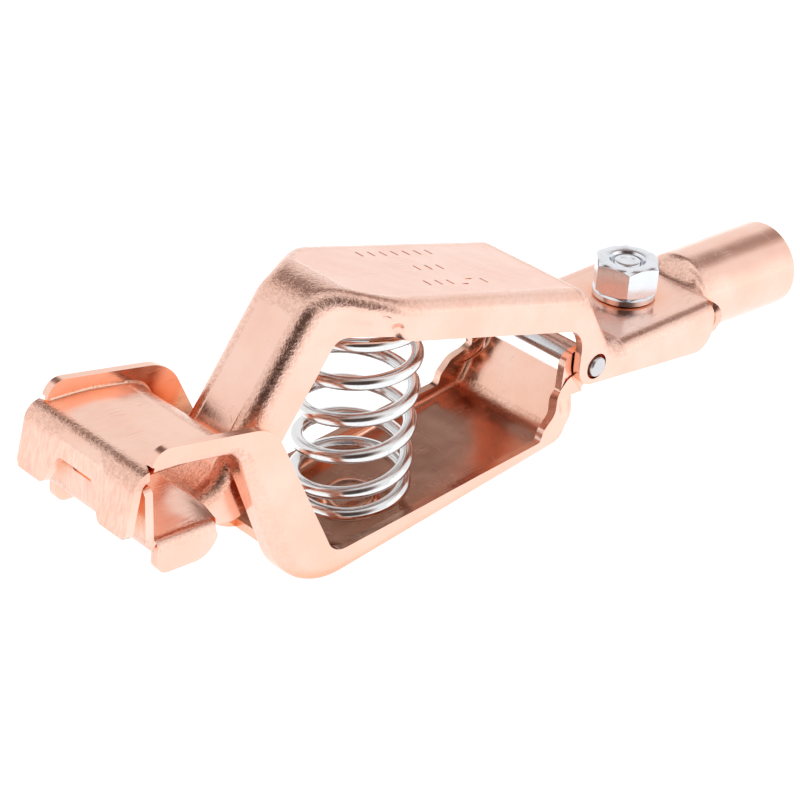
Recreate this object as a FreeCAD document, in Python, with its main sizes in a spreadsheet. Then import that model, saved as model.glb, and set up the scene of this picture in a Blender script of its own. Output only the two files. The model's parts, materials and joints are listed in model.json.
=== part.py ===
import FreeCAD, Part
import math
import os

from FreeCAD import Placement, Rotation, Vector

# Crossing-jaw ground clamp, in millimetres. The model is drawn about the pivot pin: X runs from the
# jaws (-X) to the cable barrel (+X), Y along the pin and Z up, square to the terminal pad. Each
# sub-part's Placement then moves it to the row's origin, the centre of the barrel's mouth.

# Driving dimensions: plain lengths, a count and an angle.
LENGTHS = {
    "sheet": 1.45,             # thickness of the stamped copper
    "clip_width": 27.0,        # over the flanges of both levers
    "side_gap": 0.3,           # between the upper lever's ears and the lower lever's
    "neck_width": 14.0,        # of the upper lever where it crosses the lower one
    "bend": 2.6,               # outer radius of the bends between web and flanges
    "shoulder_front": -48.5,   # where the upper lever starts to narrow
    "neck_rear": -56.0,        # where it has its neck's width
    "neck_front": -84.5,       # where it widens into the lower jaw
    "joggle_front": -14.8,     # where the lower lever starts to narrow towards its ears
    "joggle_rear": -11.8,
    "window_rear": -63.5,      # opening in the lower lever for the other one's neck
    "window_front": -80.5,
    "window_width": 16.0,
    "pin_diameter": 4.2,
    "pin_running_gap": 0.05,
    "pin_proud": 0.7,          # how far the pin's ends stand out of the ears
    "notch_narrow": 7.4,       # notch between the two teeth of a jaw, at its root
    "notch_wide": 14.8,        # and at the teeth's tips
    "upper_notch_root": 11.8,
    "lower_notch_root": 7.0,
    "lower_wall_top": 12.9,
    "barrel_outer": 8.45,
    "barrel_axis": -4.1,
    "barrel_start": 43.0,
    "barrel_mouth": 63.5,
    "barrel_seam": 0.6,
    "curl_start": 31.6,
    "bolt_x": 21.9,
    "bolt_diameter": 6.1,
    "bolt_hole": 6.8,
    "bolt_head_height": 4.0,
    "across_flats": 11.11,
    "washer_height": 1.6,
    "washer_diameter": 12.2,
    "nut_height": 5.6,
    "thread_clearance": 0.1,
    "wire": 2.4,
    "coil_radius": 9.5,
    "coil_turns": 6.0,
    "nut_turn": 15.0,          # degrees, as the nut was left when it was tightened
    "spring_x": -45.2,
    "seat_diameter": 10.0,
    "seat_height": 1.6,
}

# Corners of the side outlines: x, z and the radius of the round there.
CORNERS = {
    # upper lever, outer face of its web from the pad to the lower jaw
    "pad_end": (32.4, 1.9, 0),
    "pad_heel": (4.8, 1.9, 5),
    "shoulder": (-3.2, 15.4, 5),
    "knee": (-60.1, 30.7, 8),
    "foot": (-81.0, 1.8, 6),
    "lower_jaw_bend": (-97.6, 2.9, 1.5),
    "lower_wall_tip": (-97.85, 12.9, 0),
    # upper lever, free edge of the wide flanges
    "pad_corner": (32.4, -7.2, 4),
    "ear_bottom": (-4.5, -2.8, 4),
    "ear_top": (-4.5, 8.4, 5),
    "shoulder_edge": (-56.0, 22.7, 0),
    # free edge of the neck's flanges and of the lower jaw's lips
    "neck_edge_rear": (-50.0, 21.0, 0),
    "neck_edge_top": (-56.6, 20.9, 4),
    "neck_edge_foot": (-75.5, -4.8, 3),
    "neck_edge_front": (-84.5, -3.0, 1.5),
    "lip_rear_top": (-84.5, 1.0, 0),
    "lip_rear": (-85.6, -2.9, 3),
    "lip_front": (-97.6, -2.4, 4),
    # lower lever, outer face of its web from the ears to the upper jaw
    "web_top": (-1.2, -3.6, 0),
    "heel": (-6.8, -13.4, 4),
    "belly": (-68.3, -20.3, 13),
    "throat": (-81.2, 11.9, 4),
    "brow": (-99.6, 14.4, 1.6),
    "upper_wall_tip": (-101.6, 5.4, 0),
    # lower lever, free edge of its flanges
    "jaw_lip_front": (-97.4, 19.1, 3),
    "crook": (-74.6, 14.6, 8),
    "inner_belly": (-60.9, -14.0, 4),
    "step_top": (-12.4, -10.8, 0),
    "ear_step": (-12.4, -8.8, 1),
    "ear_edge_low": (-6.8, -3.6, 2),
    "ear_edge_high": (-6.5, 3.6, 2.5),
    "ear_crown": (3.5, 3.5, 3.5),
    "ear_back": (3.5, -3.6, 3.5),
}

doc = FreeCAD.newDocument("ground_clamp")
sheet = doc.addObject("Spreadsheet::Sheet", "sizes")


def fill_sheet():
    """Write every driving dimension into the spreadsheet as a number with an alias."""
    cells = dict(LENGTHS)
    for name, (x, z, radius) in CORNERS.items():
        cells[name + "_x"] = x
        cells[name + "_z"] = z
        cells[name + "_round"] = radius
    for row, (alias, value) in enumerate(cells.items(), 1):
        sheet.set(f"A{row}", alias)
        sheet.set(f"B{row}", str(value))
        sheet.setAlias(f"B{row}", alias)
    doc.recompute()


def size(alias):
    return float(sheet.get(alias))


def corner(name):
    return size(name + "_x"), size(name + "_z"), size(name + "_round")


def corners(*names):
    return [corner(name) for name in names]


# ---- outlines -----------------------------------------------------------------------------------

def unit(ax, ay, bx, by):
    length = math.hypot(bx - ax, by - ay)
    return (bx - ax) / length, (by - ay) / length


def inset(chain, depth):
    """The chain of corners moved sideways by depth: to the left of its direction when positive."""
    moved = []
    for i, (x, y, radius) in enumerate(chain):
        before = unit(*chain[max(i - 1, 0)][:2], *chain[max(i, 1)][:2])
        after = unit(*chain[min(i, len(chain) - 2)][:2], *chain[min(i + 1, len(chain) - 1)][:2])
        turn = before[0] * after[1] - before[1] * after[0]
        along = before[0] * after[0] + before[1] * after[1]
        slide = depth * math.tan(math.atan2(turn, along) / 2)
        bent = radius - math.copysign(depth, turn * depth) if radius else 0
        moved.append((x - before[1] * depth - before[0] * slide,
                      y + before[0] * depth - before[1] * slide, bent))
    return moved


def outline_geometry(chain):
    """Line segments and arcs of a closed outline whose corners are rounded by their radius."""
    starts, ends = [], []
    geometry = []
    count = len(chain)
    for i, (x, y, radius) in enumerate(chain):
        before = unit(x, y, *chain[i - 1][:2])
        after = unit(x, y, *chain[(i + 1) % count][:2])
        if radius < 0.05:
            starts.append((x, y))
            ends.append((x, y))
            continue
        half = math.acos(max(-1, min(1, before[0] * after[0] + before[1] * after[1]))) / 2
        run = radius / math.tan(half)
        middle = unit(0, 0, before[0] + after[0], before[1] + after[1])
        reach = radius / math.sin(half)
        nearest = reach - radius
        first = (x + before[0] * run, y + before[1] * run)
        last = (x + after[0] * run, y + after[1] * run)
        crown = (x + middle[0] * nearest, y + middle[1] * nearest)
        geometry.append(Part.Arc(*(Vector(*point, 0) for point in (first, crown, last))))
        starts.append(first)
        ends.append(last)
    for i in range(count):
        a, b = Vector(*ends[i], 0), Vector(*starts[(i + 1) % count], 0)
        if a.distanceToPoint(b) > 1e-6:
            geometry.append(Part.LineSegment(a, b))
    return geometry


SIDE = Placement(Vector(), Rotation(Vector(1, 0, 0), 90))       # sketch x, y are X, Z
PLAN = Placement()                                              # sketch x, y are X, Y
FRONT = Placement(Vector(), Rotation(Vector(1, 1, 1), 120))     # sketch x, y are Y, Z


def sketch(name, chain, placement):
    drawing = doc.addObject("Sketcher::SketchObject", name)
    drawing.addGeometry(outline_geometry(chain), False)
    drawing.Placement = placement
    return drawing


def extrude(name, chain, placement, forward, backward):
    """The outline's prism, from backward behind its plane to forward in front of it."""
    block = doc.addObject("Part::Extrusion", name)
    block.Base = sketch(name + "_outline", chain, placement)
    block.DirMode = "Normal"
    block.Solid = True
    block.setExpression("LengthFwd", forward)
    block.setExpression("LengthRev", backward)
    doc.recompute()
    return block


def across(name, chain, width):
    """A side outline's prism, centred on the middle plane."""
    return extrude(name, chain, SIDE, width + " / 2", width + " / 2")


def combine(kind, name, shapes):
    result = doc.addObject(kind, name)
    result.Shapes = shapes
    doc.recompute()
    return result


def fuse(name, *shapes):
    return combine("Part::MultiFuse", name, list(shapes))


def common(name, *shapes):
    return combine("Part::MultiCommon", name, list(shapes))


def cut(name, base, tool):
    result = doc.addObject("Part::Cut", name)
    result.Base = base
    result.Tool = tool
    doc.recompute()
    return result


def cylinder(name, radius, height, position, rotation=Rotation()):
    round_bar = doc.addObject("Part::Cylinder", name)
    round_bar.setExpression("Radius", radius)
    round_bar.setExpression("Height", height)
    round_bar.Placement = Placement(position, rotation)
    doc.recompute()
    return round_bar


def round_bends(name, block, chain):
    """Round the long edges where the web's outer face, along the chain, meets the flanges."""
    wire = Part.Wire(Part.sortEdges([line.toShape() for line in outline_geometry(chain)])[0])
    wire.Placement = SIDE
    half = max(abs(v.Y) for v in block.Shape.Vertexes)
    edges = []
    for number, edge in enumerate(block.Shape.Edges, 1):
        middle = edge.valueAt((edge.FirstParameter + edge.LastParameter) / 2)
        if abs(abs(middle.y) - half) > 1e-6:
            continue
        foot = Part.Vertex(middle.x, 0, middle.z)
        if foot.distToShape(wire)[0] < 1e-4:
            edges.append((number, size("bend"), size("bend")))
    rounded = doc.addObject("Part::Fillet", name)
    rounded.Base = block
    rounded.Edges = edges
    doc.recompute()
    return rounded


def at_x(first, second, x):
    """The point of the line through two corners at the given x."""
    share = (x - first[0]) / (second[0] - first[0])
    return x, first[1] + share * (second[1] - first[1]), 0


def plan_chain(x_wide, x_narrow, half_wide, half_narrow):
    """The step of a plan outline from one half width to another."""
    return [(x_wide, half_wide, 1.5), (x_narrow, half_narrow, 1.5)]


def mirrored(chain):
    return chain + [(x, -y, radius) for x, y, radius in reversed(chain)]


TALL = "90"                    # any height beyond the part, for cuts that go right through
FAR = 40.0                     # any distance beyond a flange's free edge


# ---- upper lever --------------------------------------------------------------------------------

def upper_lever():
    t = size("sheet")
    wide, narrow = size("clip_width") / 2, size("neck_width") / 2
    web = corners("pad_end", "pad_heel", "shoulder", "knee", "foot")
    jaw_web = corners("foot", "lower_jaw_bend", "lower_wall_tip")
    neck_start = at_x(corner("shoulder"), corner("knee"), size("neck_rear") + 5)
    jaw_start = at_x(corner("foot"), corner("lower_jaw_bend"), size("neck_front"))

    # wide channel from the pad to the shoulder
    shoulder_end = at_x(corner("shoulder"), corner("knee"), size("neck_rear"))
    rear = web[:3] + [shoulder_end] + corners("shoulder_edge", "ear_top", "ear_bottom", "pad_corner")
    step = plan_chain(size("shoulder_front"), size("neck_rear"), wide, narrow)
    plan = [(size("pad_end_x") + 1, wide, 0)] + step
    rear_block = round_bends("rear_rounded", across("rear_block", rear, "sizes.clip_width"), web[:4])
    outer_plan = extrude("rear_plan", mirrored(plan), PLAN, TALL, TALL)
    inner_plan = extrude("rear_inner_plan", mirrored(inset(plan, t)), PLAN, TALL, TALL)

    # narrow neck
    neck = [neck_start] + corners("knee", "foot") + [jaw_start]
    neck += corners("neck_edge_front", "neck_edge_foot", "neck_edge_top", "neck_edge_rear")
    neck_block = round_bends("neck_rounded", across("neck_block", neck, "sizes.neck_width"),
                             [neck_start] + corners("knee", "foot") + [jaw_start])

    # lower jaw: platform, front wall and side lips
    wall = inset([jaw_start] + jaw_web[1:], t)
    platform_block = across("platform_block", [jaw_start] + jaw_web[1:] + wall[::-1], "sizes.clip_width")
    lip_start = at_x(jaw_web[0], jaw_web[1], size("lip_front_x"))
    lips = [jaw_start, lip_start] + corners("lip_front", "lip_rear", "lip_rear_top")
    lips_block = across("lips_block", lips, "sizes.clip_width")

    # hollow under the web, wide in the rear channel and narrow in the neck
    under = inset(web, t)
    below = [(under[-1][0], -FAR, 0), (size("pad_end_x") + 1, -FAR, 0)]
    under[0] = (size("pad_end_x") + 1, under[0][1], 0)
    flange_inside = "(sizes.clip_width - 2 * sizes.sheet)"
    rear_hollow = common("rear_hollow", across("rear_core", under + below, flange_inside), inner_plan)
    neck_under = inset([neck_start] + corners("knee", "foot") + [jaw_start], t)
    neck_below = [(size("neck_front") - 1, -FAR, 0), (neck_start[0], -FAR, 0)]
    neck_under[-1] = (size("neck_front") - 1, neck_under[-1][1] + 0.02, 0)
    neck_hollow = across("neck_hollow", neck_under + neck_below, "(sizes.neck_width - 2 * sizes.sheet)")
    lips_under = [wall[0], (lip_start[0] - t, lip_start[1] - t, 0), (lip_start[0] - t, -FAR, 0),
                  (wall[0][0], -FAR, 0)]
    lips_hollow = across("lips_hollow", lips_under, flange_inside)

    outer = fuse("upper_outer", common("rear_outer", rear_block, outer_plan), neck_block, lips_block)
    hollow = fuse("upper_hollow", rear_hollow, neck_hollow, lips_hollow)
    stamping = cut("upper_stamping", outer, hollow)

    seat_height = at_x(corner("shoulder"), corner("knee"), size("spring_x"))[1]
    seat = cylinder("upper_seat", "sizes.seat_diameter / 2", "2 * sizes.sheet + sizes.seat_height",
                    Vector(size("spring_x"), 0, seat_height - 2 * t - size("seat_height")))
    lid = extrude("upper_seat_trim", inset(web, t / 2)[1:4] + [(-60, -FAR, 0), (0, -FAR, 0)], SIDE,
                  TALL, TALL)
    boss = common("upper_seat_boss", seat, lid)
    body = fuse("upper_whole", stamping, platform_block, boss, *barrel())

    notch = notch_prism("lower_notch", size("lower_wall_tip_z") + 1, size("lower_notch_root"),
                        size("lower_wall_tip_x"))
    holes = fuse("upper_holes", notch, pin_hole("upper_pin_hole"),
                 cylinder("bolt_hole_bar", "sizes.bolt_hole / 2", TALL, Vector(size("bolt_x"), 0, -FAR)))
    return cut("upper_lever", body, holes)


def notch_prism(name, open_z, root_z, wall_x):
    """The notch between a jaw's two teeth, from its narrow root to its wide open end."""
    narrow, wide = size("notch_narrow") / 2, size("notch_wide") / 2
    chain = [(-wide, open_z, 0), (-narrow, root_z, 1), (narrow, root_z, 1), (wide, open_z, 0)]
    placement = Placement(Vector(wall_x, 0, 0), FRONT.Rotation)
    return extrude(name, chain, placement, "2.6", "5")


def pin_hole(name):
    turned = Rotation(Vector(1, 0, 0), 90)
    return cylinder(name, "sizes.pin_diameter / 2 + sizes.pin_running_gap", TALL, Vector(0, FAR, 0), turned)


def curl_section(name, x, radius, half_angle, top):
    """A closed C in the plane at x: the sheet curled to the radius, its middle at height top."""
    t = size("sheet")
    inner = radius - t
    centre = Vector(0, top - radius, 0)
    section = doc.addObject("Sketcher::SketchObject", name)
    ends = (math.pi / 2 - half_angle, math.pi / 2 + half_angle)

    def rim(r, angle):
        return centre + Vector(r * math.cos(angle), r * math.sin(angle), 0)

    middle = math.pi / 2
    section.addGeometry([
        Part.Arc(rim(radius, ends[0]), rim(radius, middle), rim(radius, ends[1])),
        Part.LineSegment(rim(radius, ends[1]), rim(inner, ends[1])),
        Part.Arc(rim(inner, ends[1]), rim(inner, middle), rim(inner, ends[0])),
        Part.LineSegment(rim(inner, ends[0]), rim(radius, ends[0]))], False)
    section.Placement = Placement(Vector(x, 0, 0), FRONT.Rotation)
    return section


def barrel():
    """The rolled cable barrel, and the curl that leads into it from the flat pad."""
    outer, t = size("barrel_outer"), size("sheet")
    start, end = size("curl_start"), size("barrel_start")
    pad_top, barrel_top = size("pad_end_z"), size("barrel_axis") + outer
    closed = math.pi - math.asin(size("barrel_seam") / 2 / outer)
    flat_radius = 6 * outer
    flat = (size("clip_width") / 2) / (flat_radius - t)
    sections = []
    for number, share in enumerate((0, 0.3, 0.62, 1)):
        curl = flat + (closed - flat) * share
        arc_length = flat * flat_radius + (closed * outer - flat * flat_radius) * share ** 2
        top = pad_top + (barrel_top - pad_top) * (3 - 2 * share) * share ** 2
        sections.append(curl_section(f"curl_{number}", start + (end - start) * share,
                                     arc_length / curl, curl, top))
    curl_loft = doc.addObject("Part::Loft", "curl")
    curl_loft.Sections = sections
    curl_loft.Solid = True
    doc.recompute()
    mouth = curl_section("barrel_section", end, outer, closed, barrel_top)
    tube = doc.addObject("Part::Extrusion", "barrel_tube")
    tube.Base = mouth
    tube.DirMode = "Normal"
    tube.Solid = True
    tube.setExpression("LengthFwd", "sizes.barrel_mouth - sizes.barrel_start")
    doc.recompute()
    return curl_loft, tube


# ---- lower lever --------------------------------------------------------------------------------

def lower_lever():
    t = size("sheet")
    wide = size("clip_width") / 2
    narrow = wide - t - size("side_gap")
    web = corners("web_top", "heel", "belly", "throat", "brow", "upper_wall_tip")
    face = inset(web, -t)

    # wide channel: belly, throat and upper jaw
    channel_start = at_x(corner("heel"), corner("belly"), size("joggle_rear"))
    edge_start = at_x(corner("step_top"), corner("inner_belly"), size("joggle_rear"))
    lip_end = at_x(corner("throat"), corner("brow"), size("jaw_lip_front_x"))
    front_web = [channel_start] + web[2:4] + [lip_end]
    front = front_web + corners("jaw_lip_front", "crook", "inner_belly") + [edge_start]
    front_block = round_bends("front_rounded", across("front_block", front, "sizes.clip_width"), front_web)
    wall_start = size("jaw_lip_front_x") + t
    wall = [at_x(web[3], web[4], wall_start)] + web[4:] + face[:3:-1] + [at_x(face[3], face[4], wall_start)]
    wall_block = across("upper_wall", wall, "sizes.clip_width")
    step = plan_chain(size("joggle_front"), size("joggle_rear"), wide, narrow)
    plan = [(size("upper_wall_tip_x") - FAR, wide, 0)] + step
    outer_plan = extrude("front_plan", mirrored(plan), PLAN, TALL, TALL)
    inner_plan = extrude("front_inner_plan", mirrored(inset(plan, -t)), PLAN, TALL, TALL)

    # narrow ears around the pivot pin
    ears = [at_x(corner("heel"), corner("belly"), size("joggle_front"))] + web[1::-1]
    ears += corners("ear_back", "ear_crown", "ear_edge_high", "ear_edge_low", "ear_step")
    ears += [at_x(corner("step_top"), corner("inner_belly"), size("joggle_front"))]
    ears_width = "(sizes.clip_width - 2 * sizes.sheet - 2 * sizes.side_gap)"
    ears_block = across("ears_block", ears, ears_width)
    ears_inside = "(sizes.clip_width - 4 * sizes.sheet - 2 * sizes.side_gap)"

    # hollow on the inner side of the web
    above = [(size("upper_wall_tip_x") - FAR, face[5][1], 0), (size("upper_wall_tip_x") - FAR, FAR, 0),
             (FAR, FAR, 0), (FAR, face[0][1], 0)]
    core = face + above
    front_hollow = common("front_hollow", across("front_core", core, "(sizes.clip_width - 2 * sizes.sheet)"),
                          inner_plan)
    ears_core = across("ears_core", core, ears_inside)
    ears_limit = extrude("ears_limit", mirrored([(size("joggle_front"), wide, 0), (FAR, wide, 0)]), PLAN,
                         TALL, TALL)
    ears_hollow = common("ears_hollow", ears_core, ears_limit)

    outer = fuse("lower_outer", common("front_outer", front_block, outer_plan), ears_block, wall_block)
    stamping = cut("lower_stamping", outer, fuse("lower_hollow", front_hollow, ears_hollow))

    seat_floor = at_x(corner("heel"), corner("belly"), size("spring_x"))[1] + t / 2
    seat = cylinder("lower_seat", "sizes.seat_diameter / 2", "sizes.sheet + sizes.seat_height",
                    Vector(size("spring_x"), 0, seat_floor))
    body = fuse("lower_whole", stamping, seat)

    window_half = size("window_width") / 2
    window = extrude("neck_window", mirrored([(size("window_front"), window_half, 2),
                                              (size("window_rear"), window_half, 4)]), PLAN, TALL, TALL)
    notch = notch_prism("upper_notch", size("upper_wall_tip_z") - 1, size("upper_notch_root"),
                        size("upper_wall_tip_x") + 1)
    return cut("lower_lever", body, fuse("lower_holes", window, notch, pin_hole("lower_pin_hole")))


# ---- pin, spring and terminal fasteners ---------------------------------------------------------

def origin_plane(body, role):
    return next(plane for plane in body.Origin.OriginFeatures if plane.Role == role)


def body_sketch(body, name, role, geometry):
    drawing = body.newObject("Sketcher::SketchObject", name)
    drawing.AttachmentSupport = (origin_plane(body, role), [""])
    drawing.MapMode = "FlatFace"
    drawing.addGeometry(geometry, False)
    return drawing


def circle(radius):
    return Part.Circle(Vector(), Vector(0, 0, 1), radius)


def hexagon(across_flats):
    points = [Vector(across_flats / math.sqrt(3) * math.cos(math.radians(60 * i)),
                     across_flats / math.sqrt(3) * math.sin(math.radians(60 * i)), 0) for i in range(6)]
    return [Part.LineSegment(points[i - 1], points[i]) for i in range(6)]


def pad(body, name, drawing, length):
    feature = body.newObject("PartDesign::Pad", name)
    feature.Profile = drawing
    feature.setExpression("Length", length)
    doc.recompute()
    return feature


def pocket_through(body, name, drawing):
    feature = body.newObject("PartDesign::Pocket", name)
    feature.Profile = drawing
    feature.Type = "ThroughAll"
    feature.Reversed = True
    doc.recompute()
    return feature


def chamfer_rims(body, name, base, heights, distance):
    """Chamfer the base feature's edges that lie at the given heights."""
    feature = body.newObject("PartDesign::Chamfer", name)
    edges = [f"Edge{i}" for i, edge in enumerate(base.Shape.Edges, 1)
             if any(edge.BoundBox.ZMin > z - 1e-6 and edge.BoundBox.ZMax < z + 1e-6 for z in heights)]
    feature.Base = (base, edges)
    feature.setExpression("Size", distance)
    doc.recompute()
    return feature


def pivot_pin():
    body = doc.addObject("PartDesign::Body", "pivot_pin")
    drawing = body_sketch(body, "pin_circle", "XY_Plane", [circle(size("pin_diameter") / 2)])
    bar = pad(body, "pin_bar", drawing, "sizes.clip_width + 2 * sizes.pin_proud")
    length = size("clip_width") + 2 * size("pin_proud")
    chamfer_rims(body, "pin_chamfers", bar, (0, length), "0.4")
    body.Placement = Placement(Vector(0, length / 2, 0), Rotation(Vector(1, 0, 0), 90))
    return body


def terminal_bolt():
    body = doc.addObject("PartDesign::Body", "terminal_bolt")
    head_outline = body_sketch(body, "head_hexagon", "XY_Plane", hexagon(size("across_flats")))
    head = pad(body, "bolt_head", head_outline, "sizes.bolt_head_height")
    chamfer_rims(body, "head_chamfer", head, (0,), "0.5")
    shank = body_sketch(body, "shank_circle", "XY_Plane", [circle(size("bolt_diameter") / 2)])
    length = "sizes.bolt_head_height + sizes.sheet + sizes.washer_height + sizes.nut_height - 0.2"
    bar = pad(body, "bolt_shank", shank, length)
    top = max(vertex.Z for vertex in bar.Shape.Vertexes)
    chamfer_rims(body, "shank_chamfer", bar, (top,), "0.5")
    floor = size("pad_end_z") - size("sheet") - size("bolt_head_height")
    body.Placement = Placement(Vector(size("bolt_x"), 0, floor), Rotation())
    return body


def lock_washer():
    body = doc.addObject("PartDesign::Body", "lock_washer")
    drawing = body_sketch(body, "washer_rings", "XY_Plane",
                          [circle(size("washer_diameter") / 2),
                           circle(size("bolt_diameter") / 2 + size("thread_clearance"))])
    ring = pad(body, "washer_ring", drawing, "sizes.washer_height")
    chamfer_rims(body, "washer_edges", ring, (0, size("washer_height")), "0.15")
    body.Placement = Placement(Vector(size("bolt_x"), 0, size("pad_end_z")), Rotation())
    return body


def terminal_nut():
    body = doc.addObject("PartDesign::Body", "terminal_nut")
    nut_outline = body_sketch(body, "nut_hexagon", "XY_Plane", hexagon(size("across_flats")))
    block = pad(body, "nut_block", nut_outline, "sizes.nut_height")
    corners_cut = chamfer_rims(body, "nut_chamfers", block, (0, size("nut_height")), "0.35")
    before = corners_cut.Shape.Volume
    bore = pocket_through(body, "nut_bore", body_sketch(body, "bore_circle", "XY_Plane",
                          [circle(size("bolt_diameter") / 2 + size("thread_clearance"))]))
    if bore.Shape.Volume >= before:
        raise ValueError("the nut's bore cuts nothing")
    floor = size("pad_end_z") + size("washer_height")
    body.Placement = Placement(Vector(size("bolt_x"), 0, floor), Rotation(Vector(0, 0, 1), size("nut_turn")))
    return body


def spring():
    """Compression spring between the webs: round wire swept along a right-hand helix."""
    t, wire = size("sheet"), size("wire")
    low = at_x(corner("heel"), corner("belly"), size("spring_x"))[1] + t + wire / 2 + 0.15
    high = at_x(corner("shoulder"), corner("knee"), size("spring_x"))[1] - t - wire / 2 - 0.15
    slope = (size("knee_z") - size("shoulder_z")) / (size("shoulder_x") - size("knee_x"))
    high -= slope * (size("coil_radius") + wire / 2)
    low += slope / 2 * (size("coil_radius") + wire / 2)
    helix = doc.addObject("Part::Helix", "spring_helix")
    helix.setExpression("Radius", "sizes.coil_radius")
    helix.Pitch = (high - low) / size("coil_turns")
    helix.Height = high - low
    section = doc.addObject("Part::Circle", "wire_section")
    section.setExpression("Radius", "sizes.wire / 2")
    section.Placement = Placement(Vector(size("coil_radius"), 0, 0), Rotation(Vector(1, 0, 0), 90))
    doc.recompute()
    coil = doc.addObject("Part::Sweep", "spring")
    coil.Sections = [section]
    coil.Spine = (helix, [f"Edge{i}" for i in range(1, len(helix.Shape.Edges) + 1)])
    coil.Solid = True
    coil.Frenet = True
    doc.recompute()
    coil.Placement = Placement(Vector(size("spring_x"), 0, low), Rotation())
    return coil


# ---- build, check and write ---------------------------------------------------------------------

def main():
    fill_sheet()
    nodes = [upper_lever(), lower_lever(), pivot_pin(), spring(), terminal_bolt(), lock_washer(),
             terminal_nut()]
    to_row_frame = Vector(-size("barrel_mouth"), 0, -size("barrel_axis"))
    for node in nodes:
        node.Label = node.Name
        node.Placement = Placement(to_row_frame, Rotation()).multiply(node.Placement)
    doc.recompute()
    for item in doc.Objects:
        if "Invalid" in item.State or "Error" in item.State:
            raise ValueError(f"{item.Name} failed: {item.State}")
    os.makedirs("parts", exist_ok=True)
    for node in nodes:
        if node.Shape.isNull() or not node.Shape.isValid():
            raise ValueError(f"{node.Label} has no valid shape")
        node.Shape.exportStep(f"parts/{node.Label}.step")
        print(f"{node.Label}: {len(node.Shape.Solids)} solid, {node.Shape.Volume:.0f} mm3")


main()
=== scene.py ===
"""Looks of the crossing-jaw ground clamp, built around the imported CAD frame.

Shapes are drawn in millimetres about the pivot pin, X from the jaws (-X) to the barrel (+X),
and moved to the row frame, in metres, when their mesh is made.
"""
import json
import math
import random

import bmesh
import bpy
from mathutils import Matrix, Quaternion, Vector, noise


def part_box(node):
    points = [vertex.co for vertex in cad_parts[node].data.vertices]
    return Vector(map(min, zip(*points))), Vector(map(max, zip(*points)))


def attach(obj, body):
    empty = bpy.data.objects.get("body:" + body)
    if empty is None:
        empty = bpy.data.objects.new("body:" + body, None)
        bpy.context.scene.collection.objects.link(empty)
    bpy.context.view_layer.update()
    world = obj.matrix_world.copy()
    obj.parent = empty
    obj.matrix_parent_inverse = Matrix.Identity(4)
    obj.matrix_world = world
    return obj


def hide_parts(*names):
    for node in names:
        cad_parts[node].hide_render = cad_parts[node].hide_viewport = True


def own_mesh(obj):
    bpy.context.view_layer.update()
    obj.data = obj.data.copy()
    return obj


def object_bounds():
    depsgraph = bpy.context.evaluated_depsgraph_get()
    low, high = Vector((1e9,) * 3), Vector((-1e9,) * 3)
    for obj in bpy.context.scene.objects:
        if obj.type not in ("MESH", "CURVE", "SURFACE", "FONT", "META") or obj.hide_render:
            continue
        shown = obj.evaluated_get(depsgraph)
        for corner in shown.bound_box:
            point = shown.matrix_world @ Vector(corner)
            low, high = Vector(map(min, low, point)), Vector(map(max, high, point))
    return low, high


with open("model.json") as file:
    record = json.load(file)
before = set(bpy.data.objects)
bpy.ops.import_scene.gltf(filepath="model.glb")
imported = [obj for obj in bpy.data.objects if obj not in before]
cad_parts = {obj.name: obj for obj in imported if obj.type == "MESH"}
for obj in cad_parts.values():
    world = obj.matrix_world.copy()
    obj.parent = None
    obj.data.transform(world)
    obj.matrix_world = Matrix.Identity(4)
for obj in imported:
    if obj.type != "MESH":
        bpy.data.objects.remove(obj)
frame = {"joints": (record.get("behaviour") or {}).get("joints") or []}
cad_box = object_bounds()

MM = 0.001
PIVOT = Vector(frame["joints"][0]["pos_m"])
UPPER, LOWER = "upper_lever", "lower_lever"

SHEET = 1.45
HALF = 13.5                     # half the clip's width
NECK_HALF = 7.0                 # half the upper lever's width where it crosses
SIDE_GAP = 0.3
EAR_HALF = HALF - SHEET - SIDE_GAP
BARREL_OUTER = 8.45
BARREL_AXIS = -4.1
BARREL_MOUTH = 63.5
PAD_TOP = 1.9
BOLT_X = 21.9
PIN_RADIUS = 2.1
SPRING_X = -45.2
COIL_RADIUS = 9.5
WIRE = 2.4


# ---- outlines ------------------------------------------------------------------------------------

GENTLE = 12.0                   # rounds wider than this don't roughen the metal


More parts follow.
